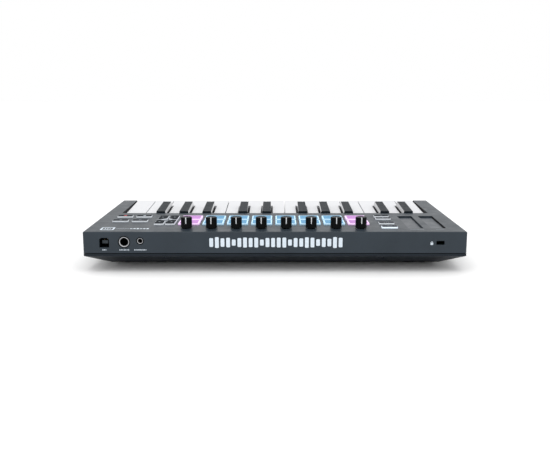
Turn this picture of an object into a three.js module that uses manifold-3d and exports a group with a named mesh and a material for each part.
// A 25-key mini keyboard controller: two-part plastic case on four rubber feet, sprung keys on one
// hinge rod, eight turning knobs, a sixteen-pad silicone mat, two touch strips and twelve push buttons.
// Millimetres, +Z up. The player sits at -Y, the sockets are in the rear wall at +Y, low notes at -X.
// The origin is under the middle of the case, on the surface that it stands on.
import * as THREE from "three";
import { mergeVertices } from "three/addons/utils/BufferGeometryUtils.js";
import Module from "manifold-3d";

const wasm = await Module();
wasm.setup();

// Overall sizes
const WIDTH = 331.6;
const DEPTH = 172;
const FOOT_PROUD = 2;
const LOWER_HEIGHT = 14.2;
const SEAM = 0.6;
const UPPER_HEIGHT = 18.7;

// Case
const WALL = 2.2;
const CORNER_RADIUS = 1.5;
const EDGE_CHAMFER = 0.8;
const LIP_HEIGHT = 2;
const HULL_INSET_SIDE = 17.8;
const HULL_INSET_REAR = 28;
const HULL_INSET_FRONT = 20;
const TONGUE_THICK = 1.2;
const TONGUE_RISE = 1.5;
const FIT = 0.3;
const CHEEK_WIDTH = 15.1;
const BOSS_RADIUS = 3;
const SCREW_RADIUS = 1.1;
const SCREW_WELL_RADIUS = 3.2;
const SCREW_WELL_WALL = 1.3;
const SCREW_SEAT = 3;
const BOSS_SIDE_INSET = 8;
const CORNER_BOSS_INSET = 20;
const REAR_BOSS_INSET = 7.5;
const FRONT_BOSS_INSET = 16;
const MIDDLE_BOSS_GAP = 7.4;

// Feet
const FOOT_RADIUS = 6.5;
const FOOT_RECESS = 1;
const FOOT_INSET = 13;

// Keys
const WHITE_COUNT = 15;
const BED_SIDE_CLEARANCE = 0.7;
const KEY_GAP = 0.8;
const WHITE_DROP = 3.2;
const WHITE_RISE = 3.2;
const KEY_DIP = 4;
const KEY_SKIN = 1.8;
const KEY_SIDE_WALL = 1.3;
const KEY_UNDERLAP = 2;
const BLACK_BASE = 9.7;
const BLACK_TOP = 8;
const BLACK_CLEARANCE = 1;
const BLACK_RISE_FRONT = 4.3;
const BLACK_RISE_REAR = 1.8;
const BLACK_SETBACK = 35;
const BLACK_NOSE = 5.5;
const BLACK_REAR_GAP = 0.6;
const BLACK_SKEW = 1.7;
const BLACK_SKEW_OUTER = 2.7;
const ARM_SIDE_GAP = 1.6;
const BLACK_ARM_WIDTH = 6;
const ARM_DROP = 5;

// Hinge rod and what the keys turn in
const HINGE_BEHIND_EDGE = 10.6;
const HINGE_DROP = 9;
const ROD_RADIUS = 1.25;
const HUB_WALL = 1.7;
const EAR_THICK = 1.6;
const EAR_DEPTH = 6.4;

// Keybed frame and contact strip
const FRAME_PLATE = 1.8;
const FRAME_DROP = 5;
const FRAME_FRONT_INSET = 7;
const FRAME_SIDE_GAP = 0.6;
const STOP_RAIL_DEPTH = 3;
const STOP_RAIL_RISE = 1.5;
const STOP_RAIL_INSET = 20;
const FRAME_RIB = 2;
const FRAME_RIB_MARGIN = 8;
const CONTACT_INSET = 50;
const STRIP_BASE = 1;
const STRIP_DEPTH = 9;
const DOME_RADIUS = 3;
const DOME_TIP_RADIUS = 2;
const DOME_RISE = 1.6;
const PRESSER_DEPTH = 3;

// Panel controls, from the player's left to right
const LEFT_MARGIN = 14.75;
const STRIP_WIDTH = 13.5;
const BETWEEN_STRIPS = 6.5;
const STRIP_TO_COLUMN = 9.15;
const COLUMN_WIDTH = 14;
const COLUMN_TO_PADS = 9;
const PAD_GAP = 3;
const PAD_COLUMNS = 8;
const PADS_TO_NAV = 3.2;
const NAV_WIDTH = 18.6;
const NAV_TO_TRANSPORT = 8.15;
const TRANSPORT_WIDTH = 14.5;
const BETWEEN_TRANSPORT = 3.5;
const RIGHT_MARGIN = 15.75;

// Panel controls, from the rear edge towards the player
const KNOB_FROM_REAR = 17.2;
const PADS_FROM_REAR = 30.5;
const PAD_LENGTH = 19;
const PADS_TO_KEYS = 20.6;

// Rows of push buttons, measured from the knobs and from the pads' rear and front edges
const SHIFT_BEFORE_KNOBS = 1.2;
const TRANSPOSE_BEFORE_PADS_REAR = 6.3;
const OCTAVE_ROWS = [12.7, 0.6];
const TRANSPORT_ROWS = [23.5, 1];

const STRIP_FROM_REAR = 16;
const STRIP_PAST_PADS = 4.2;
const COLUMN_LENGTH = 6.5;
const TRANSPORT_LENGTH = 7.5;

// Knobs
const KNOB_RADIUS = 5.2;
const KNOB_TOP_RADIUS = 4.95;
const KNOB_HEIGHT = 10;
const KNOB_LIFT = 0.7;
const KNOB_EDGE = 0.6;
const SHAFT_RADIUS = 3;
const SHAFT_HOLE_CLEARANCE = 0.7;

// Pads, buttons and touch strips
const PAD_PROUD = 1.5;
const PAD_WINDOW_GAP = 0.4;
const MAT_THICK = 1.2;
const MAT_MARGIN = 2.5;
const MAT_NAV_MARGIN = 0.9;
const BUTTON_PROUD = 1.45;
const BUTTON_WINDOW_GAP = 0.3;
const BUTTON_FLANGE = 0.9;
const BUTTON_FLANGE_THICK = 1.2;
const BUTTON_STEM = 3;
const BUTTON_TRAVEL = 0.8;
const NAV_BAR = 1.4;
const NAV_CORNER_CUT = 5;
const STRIP_SUNK = 1.5;
const STRIP_BOARD_THICK = 1.6;
const STRIP_BOARD_MARGIN = 2;

// Main board and what stands on it
const BOARD_THICK = 1.6;
const BOARD_DROP = 15.1;
const BOARD_SIDE_INSET = 8.8;
const BOARD_REAR_INSET = 4.5;
const POT_WIDTH = 9.8;
const POT_DEPTH = 11;
const POT_HEIGHT = 7;
const POT_FLOOR = 1;
const POT_NECK_WALL = 1;
const POT_NECK_GAP = 0.8;
const SWITCH_SIZE = 6;
const SWITCH_HEIGHT = 4;

// Rear sockets: distance of each centre from the player's right-hand side, and below the top
const USB_FROM_SIDE = 18.4;
const USB_DROP = 9.55;
const USB_OPENING = 8.5;
const USB_CORNER_CUT = 1.6;
const USB_WALL = 1.4;
const USB_DEPTH = 16;
const USB_BORE_DEPTH = 12;
const USB_TONGUE_WIDTH = 5;
const USB_TONGUE_HEIGHT = 2.8;
const USB_TONGUE_SHORT = 1.5;
const SUSTAIN_FROM_SIDE = 35.6;
const SUSTAIN_DROP = 9;
const SUSTAIN_BORE = 3.2;
const SUSTAIN_NOSE = 5.1;
const SUSTAIN_BODY_WIDTH = 12;
const SUSTAIN_BODY_DEPTH = 24;
const SUSTAIN_BORE_DEPTH = 23;
const MIDI_FROM_SIDE = 49.4;
const MIDI_DROP = 8.1;
const MIDI_BORE = 1.75;
const MIDI_NOSE = 3.1;
const MIDI_BODY_WIDTH = 7;
const MIDI_BODY_DEPTH = 12;
const MIDI_BORE_DEPTH = 11;
const LOCK_FROM_SIDE = 23;
const LOCK_DROP = 9.7;
const LOCK_WIDTH = 7.1;
const LOCK_HEIGHT = 3.5;

// Worked out from the sizes above
const SIDE = WIDTH / 2;
const REAR = DEPTH / 2;
const BASE_Z = FOOT_PROUD;
const LIP_TOP_Z = BASE_Z + LOWER_HEIGHT;
const UPPER_BASE_Z = LIP_TOP_Z + SEAM;
const TOP_Z = UPPER_BASE_Z + UPPER_HEIGHT;
const PANEL_UNDER_Z = TOP_Z - WALL;
const PAD_BLOCK_LENGTH = 2 * PAD_LENGTH + PAD_GAP;
const PANEL_DEPTH = PADS_FROM_REAR + PAD_BLOCK_LENGTH + PADS_TO_KEYS;
const PADS_FRONT_Y = REAR - PADS_FROM_REAR - PAD_BLOCK_LENGTH;
const PANEL_EDGE_Y = REAR - PANEL_DEPTH;
const BED_HALF = SIDE - CHEEK_WIDTH;
const KEY_PITCH = (2 * (BED_HALF - BED_SIDE_CLEARANCE)) / WHITE_COUNT;
const HINGE_Y = PANEL_EDGE_Y + HINGE_BEHIND_EDGE;
const HINGE_Z = TOP_Z - HINGE_DROP;
const HUB_BORE = ROD_RADIUS + FIT;
const HUB_RADIUS = HUB_BORE + HUB_WALL;
const WHITE_TOP_Z = TOP_Z - WHITE_DROP;
const KEY_BASE_Z = UPPER_BASE_Z + KEY_DIP;
const FRAME_TOP_Z = KEY_BASE_Z - FRAME_DROP;
const FRAME_SIDE = BED_HALF - FRAME_SIDE_GAP;
const FRAME_FRONT_Y = -REAR + FRAME_FRONT_INSET;
const FRAME_REAR_Y = HINGE_Y + EAR_DEPTH / 2;
const BOARD_TOP_Z = TOP_Z - BOARD_DROP;
const FLANGE_TOP_Z = PANEL_UNDER_Z - FIT;
const CONTACT_Y = -REAR + CONTACT_INSET;
// How far a cutter runs past what it cuts, and how far solids that are joined run into each other
const CUT_PAST = 5;
const RUN_IN = 1;

// Sides of round pieces
const ARC_STEPS = 4;
const ROUND_SIDES = 10;
const HUB_SIDES = 10;
const KNOB_SIDES = 16;
const JACK_SIDES = 16;
const FOOT_SIDES = 20;
const DOME_SIDES = 6;

// Panel positions worked out along the chain of controls
const STRIPS_LEFT = -SIDE + LEFT_MARGIN;
const STRIP_XS = [0, 1].map((i) => STRIPS_LEFT + STRIP_WIDTH / 2 + i * (STRIP_WIDTH + BETWEEN_STRIPS));
const COLUMN_X = STRIP_XS[1] + STRIP_WIDTH / 2 + STRIP_TO_COLUMN + COLUMN_WIDTH / 2;
const PADS_LEFT = COLUMN_X + COLUMN_WIDTH / 2 + COLUMN_TO_PADS;
const TRANSPORT_RIGHT = SIDE - RIGHT_MARGIN;
const TRANSPORT_PITCH = TRANSPORT_WIDTH + BETWEEN_TRANSPORT;
const TRANSPORT_XS = [1, 0].map((i) => TRANSPORT_RIGHT - TRANSPORT_WIDTH / 2 - i * TRANSPORT_PITCH);
const NAV_X = TRANSPORT_XS[0] - TRANSPORT_WIDTH / 2 - NAV_TO_TRANSPORT - NAV_WIDTH / 2;
const PADS_RIGHT = NAV_X - NAV_WIDTH / 2 - PADS_TO_NAV;
const PAD_PITCH = (PADS_RIGHT - PADS_LEFT + PAD_GAP) / PAD_COLUMNS;
const PAD_WIDTH = PAD_PITCH - PAD_GAP;
const PAD_XS = Array.from({ length: PAD_COLUMNS }, (_, i) => PADS_LEFT + PAD_WIDTH / 2 + i * PAD_PITCH);
const PAD_YS = [0, 1].map((row) => REAR - PADS_FROM_REAR - PAD_LENGTH / 2 - row * (PAD_LENGTH + PAD_GAP));
const KNOB_Y = REAR - KNOB_FROM_REAR;
const COLUMN_YS = [
  KNOB_Y - SHIFT_BEFORE_KNOBS,
  REAR - PADS_FROM_REAR - TRANSPOSE_BEFORE_PADS_REAR,
  ...OCTAVE_ROWS.map((row) => PADS_FRONT_Y + row),
];
const STRIP_LENGTH = REAR - STRIP_FROM_REAR - PADS_FRONT_Y + STRIP_PAST_PADS;
const STRIP_Y = REAR - STRIP_FROM_REAR - STRIP_LENGTH / 2;
const NAV_LENGTH = PAD_BLOCK_LENGTH;
const NAV_Y = PADS_FRONT_Y + NAV_LENGTH / 2;

// Materials, one per kind of piece
const look = (color, roughness, metalness = 0) => ({ color, roughness, metalness });
const PANEL_GREY = look("#5c636b", 0.55);
const HULL_GREY = look("#2b3036", 0.6);
const KEY_WHITE = look("#f1f1f3", 0.3);
const KEY_BLACK = look("#1c2024", 0.38);
const KNOB_BLACK = look("#17191c", 0.35);
const PAD_SILICONE = look("#a9d3ea", 0.5);
const BUTTON_DARK = look("#2a2e33", 0.5);
const STRIP_GREY = look("#565d65", 0.5);
const RUBBER = look("#141414", 0.85);
const BOARD_GREEN = look("#24503a", 0.5);
const FRAME_PLASTIC = look("#3a3d40", 0.6);
const STEEL = look("#b9bcbf", 0.3, 0.9);
const SOCKET_BLACK = look("#131416", 0.4);

// A three.js geometry as a solid.
function solid(geometry) {
  geometry.deleteAttribute("normal");
  geometry.deleteAttribute("uv");
  const merged = mergeVertices(geometry, 1e-4);
  const vertProperties = merged.attributes.position.array;
  const triVerts = new Uint32Array(merged.index.array);
  return new wasm.Manifold(new wasm.Mesh({ numProp: 3, vertProperties, triVerts }));
}

// A box from its low and high limits along each axis.
function block([x0, x1], [y0, y1], [z0, z1]) {
  const box = new THREE.BoxGeometry(x1 - x0, y1 - y0, z1 - z0);
  return solid(box.translate((x0 + x1) / 2, (y0 + y1) / 2, (z0 + z1) / 2));
}

// A box from its centre and size in plan.
function blockAt(x, y, width, length, z) {
  return block([x - width / 2, x + width / 2], [y - length / 2, y + length / 2], z);
}

function outline(points) {
  return new THREE.Shape(points.map(([u, v]) => new THREE.Vector2(u, v)));
}

function extrude(shape, from, to, basis) {
  const options = { depth: to - from, bevelEnabled: false, curveSegments: ARC_STEPS };
  const geometry = new THREE.ExtrudeGeometry(shape, options);
  geometry.translate(0, 0, from);
  return solid(geometry.applyMatrix4(new THREE.Matrix4().makeBasis(...basis)));
}

const X_AXIS = new THREE.Vector3(1, 0, 0);
const Y_AXIS = new THREE.Vector3(0, 1, 0);
const Z_AXIS = new THREE.Vector3(0, 0, 1);

// A plan outline (x, y) carried up from z0 to z1.
const extrudeUp = (shape, z0, z1) => extrude(shape, z0, z1, [X_AXIS, Y_AXIS, Z_AXIS]);

// A side outline (y, z) carried along X.
const extrudeAcross = (shape, x0, x1) => extrude(shape, x0, x1, [Y_AXIS, Z_AXIS, X_AXIS]);

// A front outline (x, z) carried along Y.
const extrudeBack = (shape, y0, y1) => extrude(shape, -y1, -y0, [X_AXIS, Z_AXIS, Y_AXIS.clone().negate()]);

function post(x, y, radius, [z0, z1], topRadius = radius, sides = ROUND_SIDES) {
  const geometry = new THREE.CylinderGeometry(topRadius, radius, z1 - z0, sides);
  return solid(geometry.rotateX(Math.PI / 2).translate(x, y, (z0 + z1) / 2));
}

function rodAcross(y, z, radius, [x0, x1], sides = ROUND_SIDES) {
  const geometry = new THREE.CylinderGeometry(radius, radius, x1 - x0, sides);
  return solid(geometry.rotateZ(Math.PI / 2).translate((x0 + x1) / 2, y, z));
}

function rodBack(x, z, radius, [y0, y1], sides = JACK_SIDES) {
  const geometry = new THREE.CylinderGeometry(radius, radius, y1 - y0, sides);
  return solid(geometry.translate(x, (y0 + y1) / 2, z));
}

const join = (solids) => solids.reduce((whole, next) => whole.add(next));
const cut = (body, cutters) => cutters.reduce((rest, cutter) => rest.subtract(cutter), body);

// A solid as a named mesh, flat shaded.
function part(name, body, material, position = [0, 0, 0]) {
  const mesh = body.getMesh();
  const geometry = new THREE.BufferGeometry();
  geometry.setAttribute("position", new THREE.BufferAttribute(new Float32Array(mesh.vertProperties), 3));
  geometry.setIndex(new THREE.BufferAttribute(new Uint32Array(mesh.triVerts), 1));
  geometry.computeVertexNormals();
  const made = new THREE.Mesh(geometry, new THREE.MeshStandardMaterial({ ...material, flatShading: true }));
  made.name = name;
  made.position.set(...position);
  return made;
}

// Rounded plan rectangle of the case, drawn in by an inset on every side.
function caseOutline(inset) {
  const x = SIDE - inset;
  const y = REAR - inset;
  const r = Math.max(CORNER_RADIUS - inset, 0.5);
  const shape = new THREE.Shape();
  shape.moveTo(-x + r, -y);
  shape.absarc(x - r, -y + r, r, -Math.PI / 2, 0);
  shape.absarc(x - r, y - r, r, 0, Math.PI / 2);
  shape.absarc(-x + r, y - r, r, Math.PI / 2, Math.PI);
  shape.absarc(-x + r, -y + r, r, Math.PI, 1.5 * Math.PI);
  return shape;
}

// Screw positions: four near the corners, two behind the middle controls.
const CORNER_BOSSES = [-1, 1].flatMap((side) => [
  [side * (SIDE - BOSS_SIDE_INSET), REAR - CORNER_BOSS_INSET],
  [side * (SIDE - BOSS_SIDE_INSET), -REAR + FRONT_BOSS_INSET],
]);
const MIDDLE_BOSSES = [
  [PADS_LEFT - MIDDLE_BOSS_GAP, REAR - REAR_BOSS_INSET],
  [PADS_RIGHT + MIDDLE_BOSS_GAP, REAR - REAR_BOSS_INSET],
];
const BOSSES = [...CORNER_BOSSES, ...MIDDLE_BOSSES];

// One window in the panel for each control.
function panelWindow(x, y, width, length, gap) {
  return blockAt(x, y, width + 2 * gap, length + 2 * gap, [PANEL_UNDER_Z - CUT_PAST, TOP_Z + CUT_PAST]);
}

// Plan outline of one navigation button, with its corner next to the middle cut off.
function navOutline(sideX, sideY, grow) {
  const inner = NAV_BAR / 2 - grow;
  const outerX = NAV_WIDTH / 2 + grow;
  const outerY = NAV_LENGTH / 2 + grow;
  const corner = NAV_CORNER_CUT - grow;
  const points = [
    [inner + corner, inner],
    [outerX, inner],
    [outerX, outerY],
    [inner, outerY],
    [inner, inner + corner],
  ].map(([x, y]) => [sideX * x, sideY * y]);
  return outline(sideX * sideY > 0 ? points : points.reverse());
}

const NAV_CORNERS = [
  ["nav_back_left", -1, 1],
  ["nav_back_right", 1, 1],
  ["nav_front_left", -1, -1],
  ["nav_front_right", 1, -1],
];

// Rectangular push buttons: name, place and size in plan.
const COLUMN_NAMES = ["shift_button", "transpose_button", "octave_up_button", "octave_down_button"];
const TRANSPORT_NAMES = [
  ["page_left_button", "page_right_button"],
  ["play_button", "record_button"],
];
const PUSH_BUTTONS = [
  ...COLUMN_NAMES.map((name, i) => ({
    name,
    x: COLUMN_X,
    y: COLUMN_YS[i],
    width: COLUMN_WIDTH,
    length: COLUMN_LENGTH,
  })),
  ...TRANSPORT_NAMES.flatMap((row, i) =>
    row.map((name, j) => ({
      name,
      x: TRANSPORT_XS[j],
      y: PADS_FRONT_Y + TRANSPORT_ROWS[i],
      width: TRANSPORT_WIDTH,
      length: TRANSPORT_LENGTH,
    })),
  ),
];

const NAV_STEM_SHIFT = [NAV_WIDTH / 4 + NAV_BAR / 4, NAV_LENGTH / 4 + NAV_BAR / 4];
const SWITCH_PLACES = [
  ...PUSH_BUTTONS.map(({ x, y }) => [x, y]),
  ...NAV_CORNERS.map(([, sx, sy]) => [NAV_X + sx * NAV_STEM_SHIFT[0], NAV_Y + sy * NAV_STEM_SHIFT[1]]),
];

const USB_X = SIDE - USB_FROM_SIDE;
const USB_Z = TOP_Z - USB_DROP;
const SUSTAIN_X = SIDE - SUSTAIN_FROM_SIDE;
const SUSTAIN_Z = TOP_Z - SUSTAIN_DROP;
const MIDI_X = SIDE - MIDI_FROM_SIDE;
const MIDI_Z = TOP_Z - MIDI_DROP;
const LOCK_X = -SIDE + LOCK_FROM_SIDE;
const LOCK_Z = TOP_Z - LOCK_DROP;

// Front outline of the square socket's mouth, its two upper corners cut.
function usbMouth(grow) {
  const half = USB_OPENING / 2 + grow;
  return outline([
    [USB_X - half, USB_Z - half],
    [USB_X + half, USB_Z - half],
    [USB_X + half, USB_Z + half - USB_CORNER_CUT],
    [USB_X + half - USB_CORNER_CUT, USB_Z + half],
    [USB_X - half + USB_CORNER_CUT, USB_Z + half],
    [USB_X - half, USB_Z + half - USB_CORNER_CUT],
  ]);
}

// Upper shell: the control panel, the rear wall and the two cheeks beside the keys.
function upperCase() {
  const c = EDGE_CHAMFER;
  const plan = extrudeUp(caseOutline(0), UPPER_BASE_Z, TOP_Z);
  const fromSide = outline([
    [-REAR, UPPER_BASE_Z],
    [REAR, UPPER_BASE_Z],
    [REAR, TOP_Z - c],
    [REAR - c, TOP_Z],
    [-REAR + c, TOP_Z],
    [-REAR, TOP_Z - c],
  ]);
  const fromFront = outline([
    [-SIDE, UPPER_BASE_Z],
    [SIDE, UPPER_BASE_Z],
    [SIDE, TOP_Z - c],
    [SIDE - c, TOP_Z],
    [-SIDE + c, TOP_Z],
    [-SIDE, TOP_Z - c],
  ]);
  const shape = plan
    .intersect(extrudeAcross(fromSide, -SIDE - CUT_PAST, SIDE + CUT_PAST))
    .intersect(extrudeBack(fromFront, -REAR - CUT_PAST, REAR + CUT_PAST));
  const below = UPPER_BASE_Z - CUT_PAST;
  const inside = extrudeUp(caseOutline(WALL), below, PANEL_UNDER_Z);
  const besideBed = BED_HALF + WALL;
  const bedWalls = block([-besideBed, besideBed], [-REAR, PANEL_EDGE_Y], [below, PANEL_UNDER_Z]);
  const hollow = inside.subtract(bedWalls);
  const keybed = block([-BED_HALF, BED_HALF], [-REAR - CUT_PAST, PANEL_EDGE_Y], [below, TOP_Z + CUT_PAST]);
  const rearCut = [REAR - WALL - CUT_PAST, REAR + CUT_PAST];
  const bosses = BOSSES.map(([x, y]) => {
    const foot = y > PANEL_EDGE_Y ? BOARD_TOP_Z + FIT : UPPER_BASE_Z;
    return post(x, y, BOSS_RADIUS, [foot, PANEL_UNDER_Z + WALL / 2]);
  });
  const screwHoles = BOSSES.map(([x, y]) => post(x, y, SCREW_RADIUS, [below, PANEL_UNDER_Z]));
  const throughPanel = [PANEL_UNDER_Z - CUT_PAST, TOP_Z + CUT_PAST];
  const windows = [
    ...PAD_YS.flatMap((y) => PAD_XS.map((x) => panelWindow(x, y, PAD_WIDTH, PAD_LENGTH, PAD_WINDOW_GAP))),
    ...STRIP_XS.map((x) => panelWindow(x, STRIP_Y, STRIP_WIDTH, STRIP_LENGTH, 0)),
    ...PUSH_BUTTONS.map((b) => panelWindow(b.x, b.y, b.width, b.length, BUTTON_WINDOW_GAP)),
    ...NAV_CORNERS.map(([, sideX, sideY]) => {
      const opening = navOutline(sideX, sideY, BUTTON_WINDOW_GAP);
      return extrudeUp(opening, ...throughPanel).translate([NAV_X, NAV_Y, 0]);
    }),
    ...PAD_XS.map((x) => post(x, KNOB_Y, SHAFT_RADIUS + SHAFT_HOLE_CLEARANCE, throughPanel)),
  ];
  const sockets = [
    extrudeBack(usbMouth(0), ...rearCut),
    rodBack(SUSTAIN_X, SUSTAIN_Z, SUSTAIN_NOSE + FIT, rearCut),
    rodBack(MIDI_X, MIDI_Z, MIDI_NOSE + FIT, rearCut),
    block(
      [LOCK_X - LOCK_WIDTH / 2, LOCK_X + LOCK_WIDTH / 2],
      rearCut,
      [LOCK_Z - LOCK_HEIGHT / 2, LOCK_Z + LOCK_HEIGHT / 2],
    ),
  ];
  const shell = cut(shape, [hollow, keybed]);
  return cut(join([shell, ...bosses]), [...screwHoles, ...windows, ...sockets]);
}

// Outer form of the lower shell: an upright lip, then four walls sloping in to a flat bottom.
function hullForm(inset) {
  const lip = LIP_TOP_Z - LIP_HEIGHT;
  const floor = BASE_Z + inset;
  const side = SIDE - inset;
  const rear = REAR - inset;
  const fromFront = outline([
    [-side + HULL_INSET_SIDE, floor],
    [side - HULL_INSET_SIDE, floor],
    [side, lip],
    [side, LIP_TOP_Z],
    [-side, LIP_TOP_Z],
    [-side, lip],
  ]);
  const fromSide = outline([
    [-rear + HULL_INSET_FRONT, floor],
    [rear - HULL_INSET_REAR, floor],
    [rear, lip],
    [rear, LIP_TOP_Z],
    [-rear, LIP_TOP_Z],
    [-rear, lip],
  ]);
  return extrudeUp(caseOutline(inset), floor, LIP_TOP_Z)
    .intersect(extrudeBack(fromFront, -REAR, REAR))
    .intersect(extrudeAcross(fromSide, -SIDE, SIDE));
}

const FOOT_X = SIDE - HULL_INSET_SIDE - FOOT_INSET;
const FOOT_REAR_Y = REAR - HULL_INSET_REAR - FOOT_INSET;
const FOOT_FRONT_Y = -REAR + HULL_INSET_FRONT + FOOT_INSET;
const FOOT_PLACES = [
  ["foot_rear_left", -FOOT_X, FOOT_REAR_Y],
  ["foot_front_left", -FOOT_X, FOOT_FRONT_Y],
  ["foot_rear_right", FOOT_X, FOOT_REAR_Y],
  ["foot_front_right", FOOT_X, FOOT_FRONT_Y],
];

// Lower shell: sloping tray with a tongue inside the upper shell's walls, screw posts and foot recesses.
function lowerCase() {
  const outer = hullForm(0);
  const open = extrudeUp(caseOutline(WALL), LIP_TOP_Z - RUN_IN, LIP_TOP_Z + CUT_PAST);
  const tray = cut(outer, [hullForm(WALL), open]);
  const tongueRing = extrudeUp(caseOutline(WALL + FIT), LIP_TOP_Z - LIP_HEIGHT, UPPER_BASE_Z + TONGUE_RISE);
  const tongueHole = extrudeUp(caseOutline(WALL + FIT + TONGUE_THICK), BASE_Z, UPPER_BASE_Z + CUT_PAST);
  const betweenCheeks = block(
    [-BED_HALF - WALL - FIT, BED_HALF + WALL + FIT],
    [-REAR - CUT_PAST, PANEL_EDGE_Y],
    [LIP_TOP_Z, TOP_Z],
  );
  const besideSockets = block(
    [MIDI_X - MIDI_BODY_WIDTH / 2 - FIT, USB_X + USB_OPENING / 2 + USB_WALL + FIT],
    [REAR - USB_DEPTH, REAR],
    [LIP_TOP_Z, TOP_Z],
  );
  const tongue = cut(tongueRing, [tongueHole, betweenCheeks, besideSockets]);
  const shoulder = extrudeUp(caseOutline(WALL / 2), LIP_TOP_Z - LIP_HEIGHT, LIP_TOP_Z).subtract(tongueHole);
  const posts = BOSSES.map(([x, y]) => {
    const top = y > PANEL_EDGE_Y ? BOARD_TOP_Z - BOARD_THICK - FIT : UPPER_BASE_Z - FIT;
    const sleeve = SCREW_WELL_RADIUS + SCREW_WELL_WALL;
    const below = outer.intersect(post(x, y, sleeve, [BASE_Z, Math.min(top, LIP_TOP_Z - FIT)]));
    return below.add(post(x, y, BOSS_RADIUS, [LIP_TOP_Z - SCREW_SEAT, top]));
  });
  const screwHoles = BOSSES.map(([x, y]) => post(x, y, SCREW_RADIUS, [BASE_Z - CUT_PAST, TOP_Z]));
  const screwWells = BOSSES.map(([x, y]) => {
    return post(x, y, SCREW_WELL_RADIUS, [BASE_Z - CUT_PAST, LIP_TOP_Z - SCREW_SEAT]);
  });
  const recessRadius = FOOT_RADIUS + FIT;
  const recess = [BASE_Z - CUT_PAST, BASE_Z + FOOT_RECESS + FIT];
  const footRecesses = FOOT_PLACES.map(([, x, y]) => {
    return post(x, y, recessRadius, recess, recessRadius, FOOT_SIDES);
  });
  return cut(join([tray, shoulder, tongue, ...posts]), [...screwHoles, ...screwWells, ...footRecesses]);
}

function foot() {
  return post(0, 0, FOOT_RADIUS, [0, FOOT_PROUD + FOOT_RECESS], FOOT_RADIUS, FOOT_SIDES);
}

// Black keys stand over the joints between white keys, shifted a little away from the group's middle.
const OCTAVE_WHITES = 7;
const BLACK_SHIFTS = new Map([
  [1, -BLACK_SKEW],
  [2, BLACK_SKEW],
  [4, -BLACK_SKEW_OUTER],
  [5, 0],
  [6, BLACK_SKEW_OUTER],
]);
const jointX = (index) => -BED_HALF + BED_SIDE_CLEARANCE + index * KEY_PITCH;

function blackAtJoint(index) {
  const inside = index > 0 && index < WHITE_COUNT;
  const shift = BLACK_SHIFTS.get(index % OCTAVE_WHITES);
  return inside && shift !== undefined ? jointX(index) + shift : null;
}

// Hinge hub and arm at the rear of a key. Key coordinates start on the hinge axis.
function keyArm(x, width, frontY) {
  const top = TOP_Z - ARM_DROP - HINGE_Z;
  const arm = block([x - width / 2, x + width / 2], [frontY, 0], [KEY_BASE_Z - HINGE_Z, top]);
  const hub = rodAcross(0, 0, HUB_RADIUS, [x - width / 2, x + width / 2], HUB_SIDES);
  return arm.add(hub);
}

const hubBore = (x, width) => rodAcross(0, 0, HUB_BORE, [x - width, x + width], HUB_SIDES);
const KEY_BASE = KEY_BASE_Z - HINGE_Z;
const KEY_FRONT = -REAR - HINGE_Y;
const BED_REAR = PANEL_EDGE_Y - HINGE_Y;
const NOTCH_Y = -REAR + BLACK_SETBACK - BLACK_NOSE - BLACK_CLEARANCE - HINGE_Y;
const PRESSER_SPAN = [-1, 1].map((side) => CONTACT_Y - HINGE_Y + (side * PRESSER_DEPTH) / 2);

// Height of a white key's top, which slopes up towards the player, in key coordinates.
function whiteTopAt(y) {
  const share = (BED_REAR - y) / (BED_REAR - KEY_FRONT);
  return WHITE_TOP_Z - HINGE_Z + WHITE_RISE * share;
}

// The space under a white key's sloping top, lowered by some depth.
function belowWhiteTop(lowered) {
  const low = KEY_BASE - CUT_PAST;
  const slope = outline([
    [KEY_FRONT, low],
    [0, low],
    [0, whiteTopAt(0) - lowered],
    [KEY_FRONT, whiteTopAt(KEY_FRONT) - lowered],
  ]);
  return extrudeAcross(slope, -SIDE, SIDE);
}

// One white key: full width in front of the black keys, waisted beside them, hollow underneath.
function whiteKey(index) {
  const centre = jointX(index + 0.5);
  const blackLeft = blackAtJoint(index);
  const blackRight = blackAtJoint(index + 1);
  const reach = BLACK_BASE / 2 + BLACK_CLEARANCE;
  const half = KEY_PITCH / 2 - KEY_GAP / 2;
  const left = blackLeft === null ? -half : blackLeft + reach - centre;
  const right = blackRight === null ? half : blackRight - reach - centre;
  const rear = BED_REAR + KEY_UNDERLAP;
  const high = whiteTopAt(KEY_FRONT);
  const head = block([-half, half], [KEY_FRONT, NOTCH_Y], [KEY_BASE, high]);
  const waist = block([left, right], [NOTCH_Y - KEY_GAP, rear], [KEY_BASE, high]);
  const w = KEY_SIDE_WALL;
  const under = [KEY_BASE - CUT_PAST, high];
  const headPocket = block([-half + w, half - w], [KEY_FRONT + w, NOTCH_Y - w], under);
  const waistPocket = block([left + w, right - w], [NOTCH_Y - 2 * w, rear - w], under);
  const presser = block([left, right], PRESSER_SPAN, [KEY_BASE, whiteTopAt(PRESSER_SPAN[1]) - KEY_SKIN / 2]);
  const armX = (left + right) / 2;
  const armWidth = right - left - 2 * ARM_SIDE_GAP;
  const pockets = headPocket.add(waistPocket).intersect(belowWhiteTop(KEY_SKIN));
  const body = head.add(waist).intersect(belowWhiteTop(0)).subtract(pockets);
  const whole = join([body, presser, keyArm(armX, armWidth, rear - w)]);
  return whole.subtract(hubBore(armX, armWidth));
}

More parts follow.
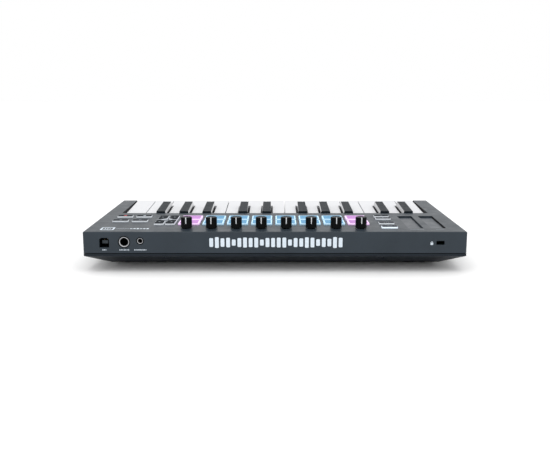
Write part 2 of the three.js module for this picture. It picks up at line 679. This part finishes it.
// One black key: tapered cap with a sloping nose, hollow underneath.
function blackKey() {
  const rear = BED_REAR - BLACK_REAR_GAP;
  const topFront = -REAR + BLACK_SETBACK - HINGE_Y;
  const highFront = TOP_Z + BLACK_RISE_FRONT - HINGE_Z;
  const highRear = TOP_Z + BLACK_RISE_REAR - HINGE_Z;
  const profile = outline([
    [topFront - BLACK_NOSE, KEY_BASE],
    [rear, KEY_BASE],
    [rear, highRear],
    [topFront, highFront],
    [topFront - BLACK_NOSE, whiteTopAt(topFront - BLACK_NOSE)],
  ]);
  const section = outline([
    [-BLACK_BASE / 2, KEY_BASE],
    [BLACK_BASE / 2, KEY_BASE],
    [BLACK_BASE / 2, WHITE_TOP_Z - HINGE_Z],
    [BLACK_TOP / 2, highFront],
    [-BLACK_TOP / 2, highFront],
    [-BLACK_BASE / 2, WHITE_TOP_Z - HINGE_Z],
  ]);
  const cap = extrudeAcross(profile, -BLACK_BASE, BLACK_BASE).intersect(extrudeBack(section, KEY_FRONT, 0));
  const w = KEY_SIDE_WALL;
  const halfPocket = BLACK_BASE / 2 - w;
  const pocketTop = WHITE_TOP_Z - KEY_SKIN - HINGE_Z;
  const pocket = block(
    [-halfPocket, halfPocket],
    [topFront - BLACK_NOSE + w, rear - w],
    [KEY_BASE - CUT_PAST, pocketTop],
  );
  const presser = block(
    [-halfPocket - w / 2, halfPocket + w / 2],
    PRESSER_SPAN,
    [KEY_BASE, pocketTop + w],
  );
  const whole = join([cap.subtract(pocket), presser, keyArm(0, BLACK_ARM_WIDTH, rear - w)]);
  return whole.subtract(hubBore(0, BLACK_ARM_WIDTH));
}

// Joints between neighbouring white keys with no black key over them, and the two ends of the row.
const EAR_XS = [
  -FRAME_SIDE + EAR_THICK / 2,
  ...Array.from({ length: WHITE_COUNT - 1 }, (_, i) => i + 1)
    .filter((index) => blackAtJoint(index) === null)
    .map(jointX),
  FRAME_SIDE - EAR_THICK / 2,
];

// Plate under the keys, with ears for the hinge rod, a stop rail and ribs down to the case floor.
function keybedFrame() {
  const across = [-FRAME_SIDE, FRAME_SIDE];
  const plate = block(across, [FRAME_FRONT_Y, FRAME_REAR_Y], [FRAME_TOP_Z - FRAME_PLATE, FRAME_TOP_Z]);
  const railY = -REAR + STOP_RAIL_INSET;
  const railHeight = [FRAME_TOP_Z - RUN_IN, FRAME_TOP_Z + STOP_RAIL_RISE];
  const rail = block(across, [railY, railY + STOP_RAIL_DEPTH], railHeight);
  const ears = EAR_XS.map((x) =>
    block(
      [x - EAR_THICK / 2, x + EAR_THICK / 2],
      [HINGE_Y - EAR_DEPTH / 2, FRAME_REAR_Y],
      [FRAME_TOP_Z - RUN_IN, HINGE_Z + EAR_DEPTH / 2],
    ),
  );
  const ribFront = -REAR + HULL_INSET_FRONT + FRAME_RIB_MARGIN;
  const ribSpan = SIDE - HULL_INSET_SIDE - WALL - FRAME_RIB_MARGIN;
  const ribs = [-ribSpan, 0, ribSpan].map((x) =>
    block(
      [x - FRAME_RIB / 2, x + FRAME_RIB / 2],
      [ribFront, FRAME_REAR_Y],
      [BASE_Z + WALL + FIT, FRAME_TOP_Z - FRAME_PLATE / 2],
    ),
  );
  const bore = rodAcross(HINGE_Y, HINGE_Z, HUB_BORE, [-SIDE, SIDE], HUB_SIDES);
  return join([plate, rail, ...ears, ...ribs]).subtract(bore);
}

function hingeRod() {
  return rodAcross(0, 0, ROD_RADIUS, [-FRAME_SIDE, FRAME_SIDE]);
}

// Rubber strip with one dome under each key.
function domeStrip() {
  const base = FRAME_TOP_Z + FIT;
  const strip = block(
    [-FRAME_SIDE + FRAME_SIDE_GAP, FRAME_SIDE - FRAME_SIDE_GAP],
    [CONTACT_Y - STRIP_DEPTH / 2, CONTACT_Y + STRIP_DEPTH / 2],
    [base, base + STRIP_BASE],
  );
  const domeHeight = [base + STRIP_BASE / 2, base + STRIP_BASE + DOME_RISE];
  const dome = (x) => post(x, CONTACT_Y, DOME_RADIUS, domeHeight, DOME_TIP_RADIUS, DOME_SIDES);
  const whites = Array.from({ length: WHITE_COUNT }, (_, i) => {
    const before = blackAtJoint(i);
    const after = blackAtJoint(i + 1);
    const left = before === null ? jointX(i) : before + BLACK_BASE / 2;
    const right = after === null ? jointX(i + 1) : after - BLACK_BASE / 2;
    return (left + right) / 2;
  });
  const blacks = Array.from({ length: WHITE_COUNT }, (_, i) => blackAtJoint(i)).filter((x) => x !== null);
  return join([strip, ...[...whites, ...blacks].map(dome)]);
}

// Knob cap and its shaft, turned as one piece. Its own coordinates start on the panel's surface.
function knob() {
  const shaftEnd = BOARD_TOP_Z + POT_FLOOR + FIT - TOP_Z;
  const profile = [
    [0, shaftEnd],
    [SHAFT_RADIUS, shaftEnd],
    [SHAFT_RADIUS, KNOB_LIFT],
    [KNOB_RADIUS, KNOB_LIFT],
    [KNOB_TOP_RADIUS, KNOB_HEIGHT - KNOB_EDGE],
    [KNOB_TOP_RADIUS - KNOB_EDGE, KNOB_HEIGHT],
    [0, KNOB_HEIGHT],
  ].map(([r, z]) => new THREE.Vector2(r, z));
  return solid(new THREE.LatheGeometry(profile, KNOB_SIDES).rotateX(Math.PI / 2));
}

// Silicone mat: one thin sheet under the panel that carries all sixteen pads.
function padMat() {
  const sheetTop = PANEL_UNDER_Z - FIT;
  const sheet = block(
    [PADS_LEFT - MAT_MARGIN, PADS_RIGHT + MAT_NAV_MARGIN],
    [PAD_YS[1] - PAD_LENGTH / 2 - MAT_MARGIN, PAD_YS[0] + PAD_LENGTH / 2 + MAT_MARGIN],
    [sheetTop - MAT_THICK, sheetTop],
  );
  const pads = PAD_YS.flatMap((y) =>
    PAD_XS.map((x) => blockAt(x, y, PAD_WIDTH, PAD_LENGTH, [sheetTop - MAT_THICK / 2, TOP_Z + PAD_PROUD])),
  );
  return join([sheet, ...pads]);
}

// Sensor board with two raised faces that fill the panel's long windows.
function touchStrips() {
  const boardTop = PANEL_UNDER_Z - FIT;
  const reachX = STRIP_WIDTH / 2 + STRIP_BOARD_MARGIN;
  const reachY = STRIP_LENGTH / 2 + STRIP_BOARD_MARGIN;
  const faceHeight = [boardTop - RUN_IN, TOP_Z - STRIP_SUNK];
  const board = block(
    [STRIP_XS[0] - reachX, STRIP_XS[1] + reachX],
    [STRIP_Y - reachY, STRIP_Y + reachY],
    [boardTop - STRIP_BOARD_THICK, boardTop],
  );
  const faces = STRIP_XS.map((x) => {
    return blockAt(x, STRIP_Y, STRIP_WIDTH - 2 * FIT, STRIP_LENGTH - 2 * FIT, faceHeight);
  });
  return join([board, ...faces]);
}

const STEM_END = BOARD_TOP_Z + SWITCH_HEIGHT + BUTTON_TRAVEL + FIT - TOP_Z;

// Flange under the panel and stem down to the switch, shared by all push buttons.
function buttonFoot(width, length, stemX = 0, stemY = 0) {
  const top = FLANGE_TOP_Z - TOP_Z;
  const bottom = top - BUTTON_FLANGE_THICK;
  const flange = blockAt(stemX, stemY, width, length, [bottom, top]);
  const stemHeight = [STEM_END, bottom + BUTTON_FLANGE_THICK / 2];
  const stem = blockAt(stemX, stemY, BUTTON_STEM, BUTTON_STEM, stemHeight);
  return flange.add(stem);
}

function pushButton(width, length) {
  const cap = blockAt(0, 0, width, length, [FLANGE_TOP_Z - TOP_Z - BUTTON_FLANGE_THICK, BUTTON_PROUD]);
  return cap.add(buttonFoot(width + 2 * BUTTON_FLANGE, length + 2 * BUTTON_FLANGE));
}

// One of the four navigation buttons; its own coordinates start at the middle of the group.
function navButton(sideX, sideY) {
  const base = FLANGE_TOP_Z - TOP_Z - BUTTON_FLANGE_THICK;
  const cap = extrudeUp(navOutline(sideX, sideY, 0), base, BUTTON_PROUD);
  const x = sideX * NAV_STEM_SHIFT[0];
  const y = sideY * NAV_STEM_SHIFT[1];
  const width = NAV_WIDTH / 2 - NAV_BAR / 2;
  return cap.add(buttonFoot(width, NAV_LENGTH / 3, x, y));
}

// Main board with the pots and switches soldered to it.
function mainBoard() {
  const front = HINGE_Y + EAR_DEPTH / 2 + 2 * FIT;
  const x = SIDE - BOARD_SIDE_INSET;
  const plate = block([-x, x], [front, REAR - BOARD_REAR_INSET], [BOARD_TOP_Z - BOARD_THICK, BOARD_TOP_Z]);
  const seat = BOARD_TOP_Z - BOARD_THICK / 2;
  const pots = PAD_XS.flatMap((px) => [
    blockAt(px, KNOB_Y, POT_WIDTH, POT_DEPTH, [seat, BOARD_TOP_Z + POT_HEIGHT]),
    post(px, KNOB_Y, SHAFT_RADIUS + FIT + POT_NECK_WALL, [seat, PANEL_UNDER_Z - POT_NECK_GAP]),
  ]);
  const boreRadius = SHAFT_RADIUS + FIT;
  const bore = [BOARD_TOP_Z + POT_FLOOR, PANEL_UNDER_Z];
  const shaftBores = PAD_XS.map((px) => post(px, KNOB_Y, boreRadius, bore, boreRadius, KNOB_SIDES));
  const switches = SWITCH_PLACES.map(([sx, sy]) =>
    blockAt(sx, sy, SWITCH_SIZE, SWITCH_SIZE, [seat, BOARD_TOP_Z + SWITCH_HEIGHT]),
  );
  const screwHoles = BOSSES.map(([bx, by]) => post(bx, by, SCREW_RADIUS + FIT, [BASE_Z, TOP_Z]));
  return cut(join([plate, ...pots, ...switches]), [...shaftBores, ...screwHoles]);
}

// Square socket on the board behind the rear wall, with its contact tongue.
function usbSocket() {
  const rear = REAR - WALL - FIT;
  const half = USB_OPENING / 2 + USB_WALL;
  const height = [BOARD_TOP_Z + FIT, USB_Z + half];
  const housing = block([USB_X - half, USB_X + half], [rear - USB_DEPTH, rear], height);
  const mouth = extrudeBack(usbMouth(0), rear - USB_BORE_DEPTH, rear + CUT_PAST);
  const tongue = block(
    [USB_X - USB_TONGUE_WIDTH / 2, USB_X + USB_TONGUE_WIDTH / 2],
    [rear - USB_BORE_DEPTH - RUN_IN, rear - USB_TONGUE_SHORT],
    [USB_Z - USB_TONGUE_HEIGHT / 2, USB_Z + USB_TONGUE_HEIGHT / 2],
  );
  return housing.subtract(mouth).add(tongue);
}

// Round socket: a box on the board with a round nose through the rear wall.
function roundJack(x, z, nose, bore, bodyWidth, bodyDepth, boreDepth) {
  const rear = REAR - WALL - FIT;
  const body = block(
    [x - bodyWidth / 2, x + bodyWidth / 2],
    [rear - bodyDepth, rear],
    [BOARD_TOP_Z + FIT, z + bodyWidth / 2],
  );
  const tip = rodBack(x, z, nose, [rear - RUN_IN, REAR - FIT]);
  return body.add(tip).subtract(rodBack(x, z, bore, [rear - boreDepth, REAR + CUT_PAST]));
}

function build() {
  const keyboard = new THREE.Group();
  const onPanel = (x, y) => [x, y, TOP_Z];

  keyboard.add(part("upper_case", upperCase(), PANEL_GREY));
  keyboard.add(part("lower_case", lowerCase(), HULL_GREY));
  FOOT_PLACES.forEach(([name, x, y]) => keyboard.add(part(name, foot(), RUBBER, [x, y, 0])));

  const keys = new THREE.Group();
  keys.position.set(0, HINGE_Y, HINGE_Z);
  const number = (i) => String(i + 1).padStart(2, "0");
  for (let i = 0; i < WHITE_COUNT; i++) {
    keys.add(part(`white_key_${number(i)}`, whiteKey(i), KEY_WHITE, [jointX(i + 0.5), 0, 0]));
  }
  Array.from({ length: WHITE_COUNT }, (_, i) => blackAtJoint(i))
    .filter((x) => x !== null)
    .forEach((x, i) => keys.add(part(`black_key_${number(i)}`, blackKey(), KEY_BLACK, [x, 0, 0])));
  keys.add(part("key_hinge_rod", hingeRod(), STEEL));
  keyboard.add(keys);

  keyboard.add(part("keybed_frame", keybedFrame(), FRAME_PLASTIC));
  keyboard.add(part("dome_strip", domeStrip(), RUBBER));
  keyboard.add(part("main_board", mainBoard(), BOARD_GREEN));

  PAD_XS.forEach((x, i) => keyboard.add(part(`knob_${i + 1}`, knob(), KNOB_BLACK, onPanel(x, KNOB_Y))));
  keyboard.add(part("pad_mat", padMat(), PAD_SILICONE));
  keyboard.add(part("touch_strips", touchStrips(), STRIP_GREY));
  PUSH_BUTTONS.forEach((b) => {
    keyboard.add(part(b.name, pushButton(b.width, b.length), BUTTON_DARK, onPanel(b.x, b.y)));
  });
  NAV_CORNERS.forEach(([name, sx, sy]) => {
    keyboard.add(part(name, navButton(sx, sy), BUTTON_DARK, onPanel(NAV_X, NAV_Y)));
  });

  const sustain = [SUSTAIN_NOSE, SUSTAIN_BORE, SUSTAIN_BODY_WIDTH, SUSTAIN_BODY_DEPTH, SUSTAIN_BORE_DEPTH];
  const midi = [MIDI_NOSE, MIDI_BORE, MIDI_BODY_WIDTH, MIDI_BODY_DEPTH, MIDI_BORE_DEPTH];
  keyboard.add(part("usb_socket", usbSocket(), SOCKET_BLACK));
  keyboard.add(part("sustain_jack", roundJack(SUSTAIN_X, SUSTAIN_Z, ...sustain), SOCKET_BLACK));
  keyboard.add(part("midi_jack", roundJack(MIDI_X, MIDI_Z, ...midi), SOCKET_BLACK));
  return keyboard;
}

export default build();
